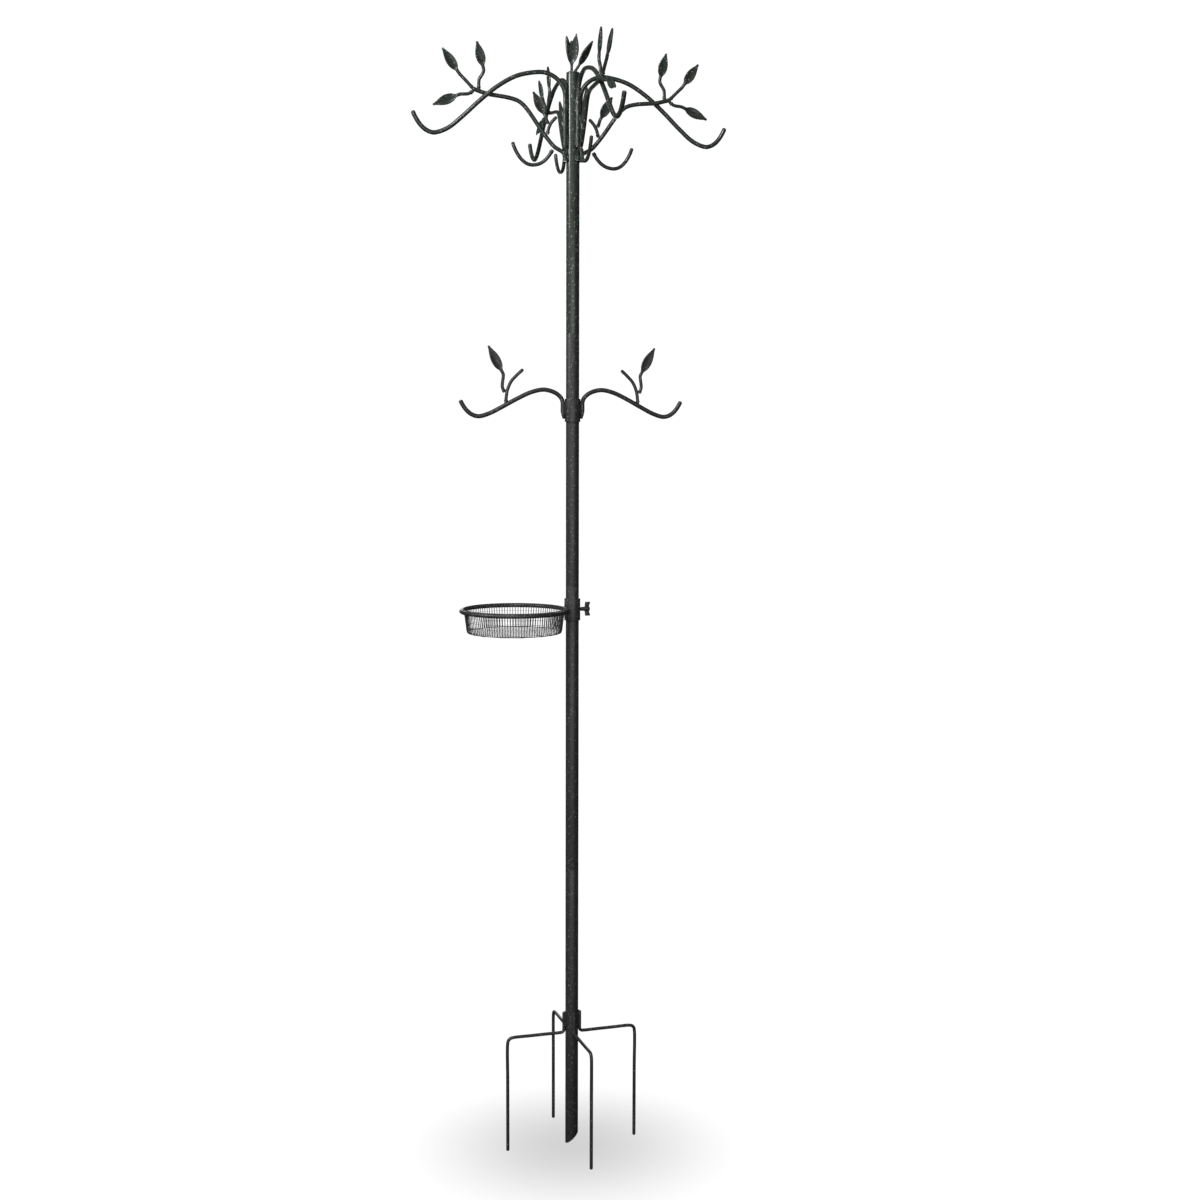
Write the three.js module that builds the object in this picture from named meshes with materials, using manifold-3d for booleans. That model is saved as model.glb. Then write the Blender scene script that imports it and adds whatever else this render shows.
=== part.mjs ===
// Bird feeder pole: a stake with four ground prongs, a pole in four push-fit sections,
// a tray and a pair of hooks clamped to the pole, and a canopy of hooks and leafy branches.
// Millimetres, +Z up. The origin is on the pole's axis, level with the prong tips.
// The arms of the canopy point along +X, +Y, -X and -Y. The tray hangs out towards -X.

import * as THREE from 'three';
import { mergeVertices } from 'three/addons/utils/BufferGeometryUtils.js';
import Module from 'manifold-3d';

const wasm = await Module();
wasm.setup();

// ---------------------------------------------------------------- driving dimensions

const GAP = 0.3; // between two pieces that touch

// pole
const POLE_R = 12.7;
const BORE_R = 11.2;
const SPIGOT_R = 10.8;
const SPIGOT_BORE_R = 9.4;
const SPIGOT_LENGTH = 45;
const SWAGE_LENGTH = 2;
const STAKE_TIP_Z = 2;
const STAKE_CUT = 0.9; // rise per millimetre across the slanted tip
const JOINT_Z = { stake: 560, lower: 1120, middle: 1600 }; // shoulders of the push fits
const POLE_TOP_Z = 2088;
const CAP_HEIGHT = 4;
const CAP_PLUG_LENGTH = 14;
const POLE_SIDES = 20;

// ground prongs
const PRONG_R = 3.25;
const PRONG_REACH = 131.5;
const PRONG_SHOULDER_Z = 230;
const PRONG_LEG_TOP_Z = 271;
const PRONG_BEND = 13;
const PRONG_INNER_BEND = 6;

// rods of the canopy
const HOOK_R = 4.25;
const BRANCH_R = 4;
const SMALL_HOOK_R = 3.5;
const STEM_R = 3.2;
const TWIG_R = 3.2;
const ROOT_LEAN = 5; // sideways offset of each rod where it runs down the pole
const ROOT_X = Math.sqrt((POLE_R + HOOK_R + GAP) ** 2 - ROOT_LEAN ** 2);

// big hook: crest, belly and tip of its centre line, at distance x and height z
const BIG_HOOK = {
  root: { x: ROOT_X, y: ROOT_LEAN, low: 1948, high: 2040 },
  crest: { x: 64, y: ROOT_LEAN, z: 2083 },
  belly: { x: 266.5, y: 0, z: 1963 },
  tip: { x: 306.5, y: 0, z: 1999.5 },
  rise: 24,
  crestPull: { before: 26, after: 94 },
  bellyPull: { before: 46.5, after: 22 },
  slopeLean: 3.5,
  tipSlope: { x: 5.5, z: 13 },
};

// middle arm, clamped to the pole
const MIDDLE_ARM = {
  root: { x: 19.6, y: 0, low: 1440, high: 1470 },
  crest: { x: 60, y: 0, z: 1495 },
  belly: { x: 184, y: 0, z: 1444.3 },
  tip: { x: 219.8, y: 0, z: 1473.5 },
  rise: 12,
  crestPull: { before: 24, after: 33 },
  bellyPull: { before: 25, after: 20 },
  slopeLean: 0,
  tipSlope: { x: 5.5, z: 11 },
};

// small hook under each branch
const SMALL_HOOK = {
  root: { x: 43, y: 3.2, z: 1938.4 },
  rootPull: { x: 8, z: -13 },
  belly: { x: 80.5, y: 0, z: 1913.1 },
  bellyPull: 20,
  tip: { x: 117.3, y: 0, z: 1952.5 },
  tipSlope: { x: 3.5, z: 13 },
};

// branch: centre line from the foot on the pole to the node where its leaves start
const BRANCH_PATH = [
  [ROOT_X, 5, 1922], [ROOT_X, 5, 1930], [21.5, 5, 1938.6], [37.5, 4.6, 1947.6],
  [64, 2.4, 1979.3], [88, -0.4, 2013.2], [104, -2.4, 2028.3], [128, -3.9, 2035],
  [163, -4.4, 2038.8], [190.5, -3.4, 2046],
];

// leaves
const LEAF_WIDTH = 17.5;
const LEAF_THICKNESS = 3;
const LEAF_DISH = 1.6;
const LEAF_ROWS = 6;
const LEAF_SIDES = 8;
const LEAF_FULLNESS = 0.85; // below 1, the widest place moves towards the base
const STEM_IN_BLADE = 0.14; // share of the blade that its stem runs into

// leaves and twigs on a branch: stem centre lines in x and z, then the leaf's base and tip
const SPRAY_LEAN = -3.4;
const SPRAY = {
  up: { stem: [[181, 2049.3], [180.3, 2064], [173.4, 2075]], base: [171.6, 2082], tip: [184.5, 2133] },
  out: { stem: [[194.4, 2049.4], [206, 2061]], base: [217.5, 2072], tip: [249.8, 2116.8] },
  down: { stem: [[195, 2040.2], [201, 2037], [209, 2036]], base: [216.5, 2035.2], tip: [268.3, 2013.4] },
};
const TWIG_LEAN = 3.4;
const BRANCH_TWIG = [[50.4, 1973.6], [48.3, 1982], [43, 1992.5], [33.7, 2002.5]];
const TWIG_LEAF = { stem: [[51, 1992.3], [52.8, 1997]], base: [54, 2001.5], tip: [78.7, 2046.8] };

// leaves and twigs on a middle arm
const ARM_TWIG = [[131.6, 1473.3], [129.3, 1491], [121, 1510.5], [98.5, 1532.5]];
const ARM_LEAF = {
  stem: [[135.9, 1492.6], [138.6, 1500], [137.8, 1511]],
  base: [136.6, 1523],
  tip: [165.8, 1576.8],
};

// finial on the pole's cap, leaning with the view direction of its broad leaf
const FINIAL_TURN = -0.3084; // about Z, radians
const FINIAL_STEM = { x: -2.6, r: 2.8, top: 2104, inBlades: 5 };
const FINIAL_LEAVES = [
  { tip: [-12.5, 0, 2154], turn: 1.45 },
  { tip: [6.5, 2, 2158.5], turn: 0 },
  { tip: [-3.5, 13, 2148], turn: 0.5 },
];
const SIDE_LEAF = { foot: [4.6, 0, 2090.2], r: 2.6, base: [10, 0, 2098], tip: [37, 0, 2145], turn: 0.9 };

// collars and screws
const COLLAR_BORE_R = 13.1;
const COLLAR_R = 15.5;
const ARM_COLLAR = { low: 1434, high: 1478, outer: 15 };
const TRAY_COLLAR = { low: 1052, high: 1094.5, outer: COLLAR_R };
const SCREW_SHAFT_R = 3;
const SCREW_HOLE_R = 3.3;
const SCREW_IN_HUB = 2;
const SCREW_HUB = { start: 16.5, end: 35, startR: 3.8, endR: 4.6 };
const WING = { root: 23, shoulder: 25.5, tipStart: 26, tipEnd: 36, neck: 33.5, halfHeight: 13.5, thickness: 3.4 };
const WING_CORNER = 2;

// tray
const RING_CENTRE_X = -116;
const RING_R = 101.5;
const RING_ROD_R = 4;
const RING_Z = 1073.5;
const BASKET_FLOOR_Z = 1031.5;
const BASKET_WALL = 1.6;
const BASKET_TOP_R = 95.5;
const BASKET_FLOOR_R = 90;
const BASKET_LIP_R = 99.5;
const RING_SEGMENTS = 36;

// ---------------------------------------------------------------- materials

function powderCoat(colour) {
  return new THREE.MeshStandardMaterial({ color: colour, roughness: 0.45, metalness: 0.35 });
}

function wireMesh() {
  return new THREE.MeshStandardMaterial({ color: 0x4a4c49, roughness: 0.5, metalness: 0.5 });
}

// ---------------------------------------------------------------- shape helpers

// A centre line made of curves laid end to end, with the same number of steps along each.
class RodPath extends THREE.Curve {
  constructor(segments) {
    super();
    this.segments = segments;
  }

  getPoint(t) {
    const place = t * this.segments.length;
    const index = Math.min(Math.floor(place), this.segments.length - 1);
    return this.segments[index].getPoint(place - index);
  }

  getUtoTmapping(u) {
    return u;
  }
}

// A smooth centre line through points, with the same number of steps between each two.
class ThroughPoints extends THREE.CatmullRomCurve3 {
  getUtoTmapping(u) {
    return u;
  }
}

function vector(point) {
  return new THREE.Vector3(point.x, point.y, point.z);
}

function section(radius, sides) {
  const corners = [];
  for (let i = 0; i < sides; i += 1) {
    const angle = (2 * Math.PI * i) / sides;
    corners.push(new THREE.Vector2(radius * Math.cos(angle), radius * Math.sin(angle)));
  }
  return new THREE.Shape(corners);
}

function sweep(path, radius, sides, steps) {
  return new THREE.ExtrudeGeometry(section(radius, sides), {
    extrudePath: path,
    steps,
    bevelEnabled: false,
  });
}

function rodThrough(points, radius, sides, stepsBetween) {
  const path = new ThroughPoints(points.map((p) => new THREE.Vector3(...p)), false, 'centripetal');
  return sweep(path, radius, sides, stepsBetween * (points.length - 1));
}

function lathe(profile, segments) {
  const points = profile.map(([r, z]) => new THREE.Vector2(r, z));
  const geometry = new THREE.LatheGeometry(points, segments);
  geometry.rotateX(Math.PI / 2);
  return geometry;
}

// A solid of revolution about Z whose section is the closed outline given.
function ringLathe(outline, segments) {
  return lathe([...outline, outline[0]], segments);
}

function toManifold(geometry) {
  const bare = geometry.index ? geometry.toNonIndexed() : geometry.clone();
  bare.deleteAttribute('normal');
  bare.deleteAttribute('uv');
  const merged = mergeVertices(bare, 1e-4);
  return new wasm.Manifold(new wasm.Mesh({
    numProp: 3,
    vertProperties: new Float32Array(merged.attributes.position.array),
    triVerts: new Uint32Array(merged.index.array),
  }));
}

function toGeometry(solid) {
  const mesh = solid.getMesh();
  const geometry = new THREE.BufferGeometry();
  geometry.setAttribute('position', new THREE.BufferAttribute(mesh.vertProperties, 3));
  geometry.setIndex(new THREE.BufferAttribute(mesh.triVerts, 1));
  geometry.computeVertexNormals();
  return geometry;
}

function joined(...geometries) {
  return toGeometry(geometries.map(toManifold).reduce((whole, solid) => whole.add(solid)));
}

function cutBy(geometry, tool) {
  return toGeometry(toManifold(geometry).subtract(toManifold(tool)));
}

const object = new THREE.Group();

function addPart(name, geometry, material, turn = 0) {
  const mesh = new THREE.Mesh(geometry, material);
  mesh.name = name;
  mesh.rotation.z = turn;
  object.add(mesh);
}

// ---------------------------------------------------------------- pole

// One pole section from its open lower end to its shoulder, with a spigot above the shoulder.
function tubeWithSpigot(low, shoulder) {
  const spigotHigh = shoulder + SPIGOT_LENGTH;
  return ringLathe([
    [BORE_R, low], [POLE_R, low], [POLE_R, shoulder - GAP], [SPIGOT_R, shoulder - GAP],
    [SPIGOT_R, spigotHigh], [SPIGOT_BORE_R, spigotHigh], [SPIGOT_BORE_R, shoulder - SWAGE_LENGTH],
    [BORE_R, shoulder - 2 * SWAGE_LENGTH],
  ], POLE_SIDES);
}

function stakeTube() {
  const geometry = tubeWithSpigot(STAKE_TIP_Z, JOINT_Z.stake);
  const position = geometry.attributes.position;
  for (let i = 0; i < position.count; i += 1) {
    if (position.getZ(i) < STAKE_TIP_Z + 1) {
      position.setZ(i, STAKE_TIP_Z + (position.getX(i) + POLE_R) * STAKE_CUT);
    }
  }
  return geometry;
}

function canopyTube() {
  const top = POLE_TOP_Z - CAP_HEIGHT - GAP;
  return ringLathe([
    [BORE_R, JOINT_Z.middle], [POLE_R, JOINT_Z.middle], [POLE_R, top], [BORE_R, top],
  ], POLE_SIDES);
}

function poleCap() {
  const rim = POLE_TOP_Z - CAP_HEIGHT;
  return lathe([
    [0, rim - CAP_PLUG_LENGTH], [BORE_R - 2 * GAP, rim - CAP_PLUG_LENGTH], [BORE_R - 2 * GAP, rim],
    [POLE_R, rim], [POLE_R, rim + 1.4], [POLE_R - 1.4, rim + 3.2], [POLE_R - 4, rim + CAP_HEIGHT],
    [0, rim + CAP_HEIGHT],
  ], POLE_SIDES);
}

// ---------------------------------------------------------------- ground prongs

function corner(from, at, to) {
  return new THREE.QuadraticBezierCurve3(from, at, to);
}

function groundProng() {
  const legX = POLE_R + PRONG_R + GAP;
  const at = (x, z) => new THREE.Vector3(x, 0, z);
  const legLow = at(legX, PRONG_SHOULDER_Z + PRONG_INNER_BEND);
  const armIn = at(legX + PRONG_INNER_BEND, PRONG_SHOULDER_Z);
  const armOut = at(PRONG_REACH - PRONG_BEND, PRONG_SHOULDER_Z);
  const tineTop = at(PRONG_REACH, PRONG_SHOULDER_Z - PRONG_BEND);
  const path = new RodPath([
    new THREE.LineCurve3(at(legX, PRONG_LEG_TOP_Z), legLow),
    corner(legLow, at(legX, PRONG_SHOULDER_Z), armIn),
    new THREE.LineCurve3(armIn, armOut),
    corner(armOut, at(PRONG_REACH, PRONG_SHOULDER_Z), tineTop),
    new THREE.LineCurve3(tineTop, at(PRONG_REACH, 0)),
  ]);
  return sweep(path, PRONG_R, 8, 15);
}

// ---------------------------------------------------------------- hooks and branches

// An S-shaped hook: up from its root, over the crest, down to the belly and up to the tip.
function hookPath({ root, crest, belly, tip, rise, crestPull, bellyPull, slopeLean, tipSlope }) {
  const at = (x, y, z) => new THREE.Vector3(x, y, z);
  const rootHigh = at(root.x, root.y, root.high);
  return new RodPath([
    new THREE.LineCurve3(at(root.x, root.y, root.low), rootHigh),
    new THREE.CubicBezierCurve3(
      rootHigh,
      at(root.x, root.y, root.high + rise),
      at(crest.x - crestPull.before, crest.y, crest.z),
      vector(crest),
    ),
    new THREE.CubicBezierCurve3(
      vector(crest),
      at(crest.x + crestPull.after, crest.y, crest.z),
      at(belly.x - bellyPull.before, slopeLean, belly.z),
      vector(belly),
    ),
    new THREE.CubicBezierCurve3(
      vector(belly),
      at(belly.x + bellyPull.after, belly.y, belly.z),
      at(tip.x - tipSlope.x, tip.y, tip.z - tipSlope.z),
      vector(tip),
    ),
  ]);
}

function smallHookPath() {
  const { root, rootPull, belly, bellyPull, tip, tipSlope } = SMALL_HOOK;
  const at = (x, y, z) => new THREE.Vector3(x, y, z);
  return new RodPath([
    new THREE.CubicBezierCurve3(
      vector(root),
      at(root.x + rootPull.x, root.y, root.z + rootPull.z),
      at(belly.x - bellyPull, belly.y, belly.z),
      vector(belly),
    ),
    new THREE.CubicBezierCurve3(
      vector(belly),
      at(belly.x + bellyPull, belly.y, belly.z),
      at(tip.x - tipSlope.x, tip.y, tip.z - tipSlope.z),
      vector(tip),
    ),
  ]);
}

// ---------------------------------------------------------------- leaves

// A dished blade, pointed at both ends, from base to tip, with its width along sideways.
function leafBlade(base, tip, sideways) {
  const length = base.distanceTo(tip);
  const profile = [];
  for (let i = 0; i <= LEAF_ROWS; i += 1) {
    const along = i / LEAF_ROWS;
    profile.push(new THREE.Vector2(Math.sin(Math.PI * along ** LEAF_FULLNESS), along * length));
  }
  const blade = new THREE.LatheGeometry(profile, LEAF_SIDES);
  const position = blade.attributes.position;
  for (let i = 0; i < position.count; i += 1) {
    const across = position.getX(i);
    position.setX(i, (across * LEAF_WIDTH) / 2);
    position.setZ(i, (position.getZ(i) * LEAF_THICKNESS) / 2 - LEAF_DISH * across * across);
  }
  const along = new THREE.Vector3().subVectors(tip, base).normalize();
  const normal = new THREE.Vector3().crossVectors(sideways, along).normalize();
  const across = new THREE.Vector3().crossVectors(along, normal);
  const place = new THREE.Matrix4().makeBasis(across, along, normal).setPosition(base);
  return blade.applyMatrix4(place);
}

// A leaf with its stem, in the upright plane at the sideways offset lean.
function leafWithStem({ stem, base, tip }, lean, stemRadius) {
  const at = ([x, z]) => [x, lean, z];
  const beyondBase = base.map((value, i) => value + (tip[i] - value) * STEM_IN_BLADE);
  const rod = rodThrough([...stem, base, beyondBase].map(at), stemRadius, 6, 2);
  const foot = new THREE.Vector3(...at(base));
  const point = new THREE.Vector3(...at(tip));
  const along = new THREE.Vector3().subVectors(point, foot);
  const sideways = new THREE.Vector3(along.z, 0, -along.x);
  return joined(rod, leafBlade(foot, point, sideways));
}

function bareTwig(points, lean) {
  return rodThrough(points.map(([x, z]) => [x, lean, z]), TWIG_R, 6, 2);
}

// The three leaves at the top of the pole share one stem.
function finialSprig() {
  const { x, r, top, inBlades } = FINIAL_STEM;
  const foot = new THREE.Vector3(x, 0, top - inBlades);
  const stem = new THREE.CylinderGeometry(r, r, top - POLE_TOP_Z - GAP, 8);
  stem.rotateX(Math.PI / 2).translate(x, 0, (top + POLE_TOP_Z + GAP) / 2);
  const blades = FINIAL_LEAVES.map(({ tip, turn }) => {
    const sideways = new THREE.Vector3(Math.cos(turn), Math.sin(turn), 0);
    return leafBlade(foot, new THREE.Vector3(...tip), sideways);
  });
  return joined(stem, ...blades);
}

function finialSideLeaf() {
  const foot = new THREE.Vector3(...SIDE_LEAF.foot);
  const base = new THREE.Vector3(...SIDE_LEAF.base);
  const tip = new THREE.Vector3(...SIDE_LEAF.tip);
  const sideways = new THREE.Vector3(Math.cos(SIDE_LEAF.turn), Math.sin(SIDE_LEAF.turn), 0);
  const beyondBase = base.clone().lerp(tip, STEM_IN_BLADE);
  const rod = rodThrough([foot, base, beyondBase].map((p) => p.toArray()), SIDE_LEAF.r, 6, 2);
  return joined(rod, leafBlade(base, tip, sideways));
}

// ---------------------------------------------------------------- collars and screws

function collar({ low, high, outer }) {
  const sleeve = ringLathe([
    [COLLAR_BORE_R, low], [outer, low], [outer, high], [COLLAR_BORE_R, high],
  ], POLE_SIDES);
  const hole = new THREE.CylinderGeometry(SCREW_HOLE_R, SCREW_HOLE_R, outer, 12);
  hole.rotateZ(Math.PI / 2).translate(outer, 0, (low + high) / 2);
  return cutBy(sleeve, hole);
}

// A wing screw along +X at height z: shaft through the collar, round hub, two flat wings.
function wingScrew(z) {
  const shaftStart = POLE_R + GAP;
  const shaftEnd = SCREW_HUB.start + SCREW_IN_HUB;
  const shaft = new THREE.CylinderGeometry(SCREW_SHAFT_R, SCREW_SHAFT_R, shaftEnd - shaftStart, 12);
  shaft.rotateZ(Math.PI / 2).translate((shaftEnd + shaftStart) / 2, 0, 0);
  const hubLength = SCREW_HUB.end - SCREW_HUB.start;
  const hub = new THREE.CylinderGeometry(SCREW_HUB.endR, SCREW_HUB.startR, hubLength, 12);
  hub.rotateZ(-Math.PI / 2).translate((SCREW_HUB.end + SCREW_HUB.start) / 2, 0, 0);
  const wing = new THREE.Shape();
  wing.moveTo(WING.root, 0);
  wing.lineTo(WING.shoulder, 5);
  wing.quadraticCurveTo(WING.shoulder, 8, WING.tipStart, WING.halfHeight - WING_CORNER);
  wing.lineTo(WING.tipStart + WING_CORNER, WING.halfHeight);
  wing.lineTo(WING.tipEnd - WING_CORNER, WING.halfHeight);
  wing.lineTo(WING.tipEnd, WING.halfHeight - WING_CORNER);
  wing.quadraticCurveTo(WING.neck, 8, WING.neck, 5);
  wing.lineTo(WING.neck, 0);
  const settings = { depth: WING.thickness, bevelEnabled: false, curveSegments: 4 };
  const upper = new THREE.ExtrudeGeometry(wing, settings);
  upper.translate(0, 0, -WING.thickness / 2).rotateX(Math.PI / 2);
  const lower = upper.clone().rotateX(Math.PI);
  return joined(shaft, hub, upper, lower).translate(0, 0, z);
}

// ---------------------------------------------------------------- tray

function circleOutline(centreR, centreZ, radius, sides) {
  const outline = [];
  for (let i = 0; i < sides; i += 1) {
    const angle = (2 * Math.PI * i) / sides;
    outline.push([centreR + radius * Math.cos(angle), centreZ + radius * Math.sin(angle)]);
  }
  return outline;
}

// The support ring, coped to fit round the collar that it is welded to.
function trayRing() {
  const ring = ringLathe(circleOutline(RING_R, RING_Z, RING_ROD_R, 8), RING_SEGMENTS);
  ring.translate(RING_CENTRE_X, 0, 0);
  const round = new THREE.CylinderGeometry(COLLAR_R + GAP, COLLAR_R + GAP, 40, 24);
  round.rotateX(Math.PI / 2).translate(0, 0, RING_Z);
  return cutBy(ring, round);
}

// The mesh basket, as one thin skin with a rim that rests on the ring.
function trayBasket() {
  const lipLow = RING_Z + RING_ROD_R + GAP;
  const lipHigh = lipLow + BASKET_WALL;
  const floorTop = BASKET_FLOOR_Z + BASKET_WALL;
  return lathe([
    [0, BASKET_FLOOR_Z], [BASKET_FLOOR_R, BASKET_FLOOR_Z], [BASKET_TOP_R, lipLow],
    [BASKET_LIP_R, lipLow], [BASKET_LIP_R, lipHigh], [BASKET_TOP_R - BASKET_WALL, lipHigh],
    [BASKET_FLOOR_R - BASKET_WALL, floorTop], [0, floorTop],
  ], RING_SEGMENTS).translate(RING_CENTRE_X, 0, 0);
}

// ---------------------------------------------------------------- the object

const lowerCoat = powderCoat(0x3b3d3a);
const upperCoat = powderCoat(0x454b45);

addPart('stake_tube', stakeTube(), lowerCoat);
addPart('lower_tube', tubeWithSpigot(JOINT_Z.stake, JOINT_Z.lower), lowerCoat);
addPart('middle_tube', tubeWithSpigot(JOINT_Z.lower, JOINT_Z.middle), lowerCoat);
addPart('canopy_tube', canopyTube(), upperCoat);
addPart('pole_cap', poleCap(), upperCoat);
addPart('finial_sprig', finialSprig(), upperCoat, FINIAL_TURN);
addPart('finial_side_leaf', finialSideLeaf(), upperCoat, FINIAL_TURN);

const SIDES = [['right', 0], ['back', Math.PI / 2], ['left', Math.PI], ['front', -Math.PI / 2]];
for (const [side, turn] of SIDES) {
  addPart(`ground_prong_${side}`, groundProng(), lowerCoat, turn);
  addPart(`big_hook_${side}`, sweep(hookPath(BIG_HOOK), HOOK_R, 8, 24), upperCoat, turn);
  addPart(`branch_${side}`, rodThrough(BRANCH_PATH, BRANCH_R, 8, 2), upperCoat, turn);
  addPart(`small_hook_${side}`, sweep(smallHookPath(), SMALL_HOOK_R, 8, 14), upperCoat, turn);
  addPart(`branch_twig_${side}`, bareTwig(BRANCH_TWIG, TWIG_LEAN), upperCoat, turn);
  addPart(`twig_leaf_${side}`, leafWithStem(TWIG_LEAF, TWIG_LEAN, TWIG_R), upperCoat, turn);
  for (const [leaf, shape] of Object.entries(SPRAY)) {
    addPart(`leaf_${leaf}_${side}`, leafWithStem(shape, SPRAY_LEAN, STEM_R), upperCoat, turn);
  }
}

addPart('arm_collar', collar(ARM_COLLAR), lowerCoat, Math.PI / 2);
addPart('arm_screw', wingScrew((ARM_COLLAR.low + ARM_COLLAR.high) / 2), lowerCoat, Math.PI / 2);
for (const [side, turn] of [['right', 0], ['left', Math.PI]]) {
  addPart(`arm_${side}`, sweep(hookPath(MIDDLE_ARM), HOOK_R, 8, 20), lowerCoat, turn);
  addPart(`arm_twig_${side}`, bareTwig(ARM_TWIG, 0), lowerCoat, turn);
  addPart(`arm_leaf_${side}`, leafWithStem(ARM_LEAF, 0, TWIG_R), lowerCoat, turn);
}

addPart('tray_collar', collar(TRAY_COLLAR), lowerCoat);
addPart('tray_screw', wingScrew((TRAY_COLLAR.low + TRAY_COLLAR.high) / 2), lowerCoat);
addPart('tray_ring', trayRing(), lowerCoat);
addPart('tray_basket', trayBasket(), wireMesh());

export default object;
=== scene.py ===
"""Bird feeder pole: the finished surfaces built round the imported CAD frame. Metres, +Z up."""

import math

import bpy
import numpy as np
from mathutils import Matrix, Vector


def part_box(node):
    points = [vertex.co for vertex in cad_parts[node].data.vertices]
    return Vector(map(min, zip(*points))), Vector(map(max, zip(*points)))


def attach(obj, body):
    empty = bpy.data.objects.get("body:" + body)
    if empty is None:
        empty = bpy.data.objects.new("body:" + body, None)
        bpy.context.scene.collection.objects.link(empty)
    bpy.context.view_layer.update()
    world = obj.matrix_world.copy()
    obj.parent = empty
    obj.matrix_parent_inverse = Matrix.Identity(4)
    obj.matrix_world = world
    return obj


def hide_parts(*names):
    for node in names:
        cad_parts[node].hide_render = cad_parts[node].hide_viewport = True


MM = 0.001

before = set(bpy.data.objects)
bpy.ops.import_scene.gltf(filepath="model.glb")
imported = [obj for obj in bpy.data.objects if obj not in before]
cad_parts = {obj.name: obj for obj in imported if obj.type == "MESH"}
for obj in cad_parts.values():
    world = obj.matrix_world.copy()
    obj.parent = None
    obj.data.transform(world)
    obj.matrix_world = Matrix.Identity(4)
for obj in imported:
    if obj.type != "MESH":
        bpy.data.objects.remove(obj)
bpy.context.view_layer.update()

SIDES = ("right", "back", "left", "front")
LOWER_SLOT, UPPER_SLOT, MESH_SLOT = "powder_coat", "upper_powder_coat", "wire_mesh"


# ---------------------------------------------------------------- camera, floor and lights

CAMERA_PLACE = Vector((-0.9691, -3.2187, 1.4356))
CAMERA_HEADING = math.radians(72.33)  # from +X towards +Y
CAMERA_PITCH = math.radians(-5.85)
CAMERA_ROLL = math.radians(-0.17)
CAMERA_LENS = 52.35  # millimetres
CAMERA_SENSOR = 36  # millimetres

GLOW_IN_WORLD = (0.03, 1.05)  # brightness as a light, and to the camera
GLOW_ON_FLOOR = (0.04, 1)
FLOOR_RADIUS = 900
FLOOR_WHITE = 1.04
# A painted shadow on the floor: a grey patch under the pole that stands in for the pole's shade.
PAINTED_SHADOW_GREY = 0.65  # painted shadow: its grey at the middle, under the pole
PAINTED_SHADOW_SCALE = 2.5  # one over the painted shadow's radius
PAINTED_SHADOW_SHIFT = (0.0, 0.03, 0)


def direction(heading, pitch=0.0):
    """A unit vector at heading from +X and pitch above the horizon."""
    flat = math.cos(pitch)
    return Vector((math.cos(heading) * flat, math.sin(heading) * flat, math.sin(pitch)))


def make_camera():
    data = bpy.data.cameras.new("camera")
    data.lens = CAMERA_LENS
    data.sensor_width = CAMERA_SENSOR
    data.clip_start = 0.05
    camera = bpy.data.objects.new("camera", data)
    forward = direction(CAMERA_HEADING, CAMERA_PITCH)
    level_right = forward.cross(Vector((0, 0, 1))).normalized()
    level_up = level_right.cross(forward)
    right = level_right * math.cos(CAMERA_ROLL) - level_up * math.sin(CAMERA_ROLL)
    up = level_right * math.sin(CAMERA_ROLL) + level_up * math.cos(CAMERA_ROLL)
    turn = Matrix((right, up, -forward)).transposed()
    camera.matrix_world = Matrix.Translation(CAMERA_PLACE) @ turn.to_4x4()
    bpy.context.scene.collection.objects.link(camera)
    bpy.context.scene.camera = camera


def soft_light(name, turn, distance, height, aim_height, width, tall, power):
    """A soft box, turn degrees to the right of the camera as the pole sees it."""
    toward = direction(CAMERA_HEADING + math.pi + math.radians(turn))
    place = toward * distance + Vector((0, 0, height))
    data = bpy.data.lights.new(name, "AREA")
    data.shape = "RECTANGLE"
    data.size = width
    data.size_y = tall
    data.energy = power
    light = bpy.data.objects.new(name, data)
    light.location = place
    light.rotation_euler = (Vector((0, 0, aim_height)) - place).to_track_quat("-Z", "Y").to_euler()
    bpy.context.scene.collection.objects.link(light)


def make_lights():
    soft_light("key_light", turn=-62, distance=2.6, height=2.9, aim_height=1.9,
               width=0.3, tall=1.0, power=56)
    soft_light("high_light", turn=-14, distance=2.6, height=4.2, aim_height=1.8,
               width=0.8, tall=0.5, power=66)
    soft_light("front_light", turn=0, distance=4.2, height=0.9, aim_height=0.6,
               width=5.6, tall=1.8, power=62)
    soft_light("back_light", turn=180, distance=4.2, height=1.6, aim_height=1.1,
               width=3.0, tall=2.6, power=70)


def glow_strength(nodes, links, as_light, to_camera):
    """A strength that is one value to the camera and another to everything it lights."""
    path = nodes.new("ShaderNodeLightPath")
    strength = nodes.new("ShaderNodeMapRange")
    strength.inputs["To Min"].default_value = as_light
    strength.inputs["To Max"].default_value = to_camera
    links.new(path.outputs["Is Camera Ray"], strength.inputs["Value"])
    return strength.outputs["Result"]


def make_world():
    """White to the camera, and dimmer as a light, so that the dark coat keeps its depth."""
    world = bpy.data.worlds.new("studio")
    bpy.context.scene.world = world
    world.use_nodes = True
    nodes, links = world.node_tree.nodes, world.node_tree.links
    background = nodes["Background"]
    links.new(glow_strength(nodes, links, *GLOW_IN_WORLD), background.inputs["Strength"])
    background.inputs["Color"].default_value = (1, 1, 1, 1)


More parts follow.
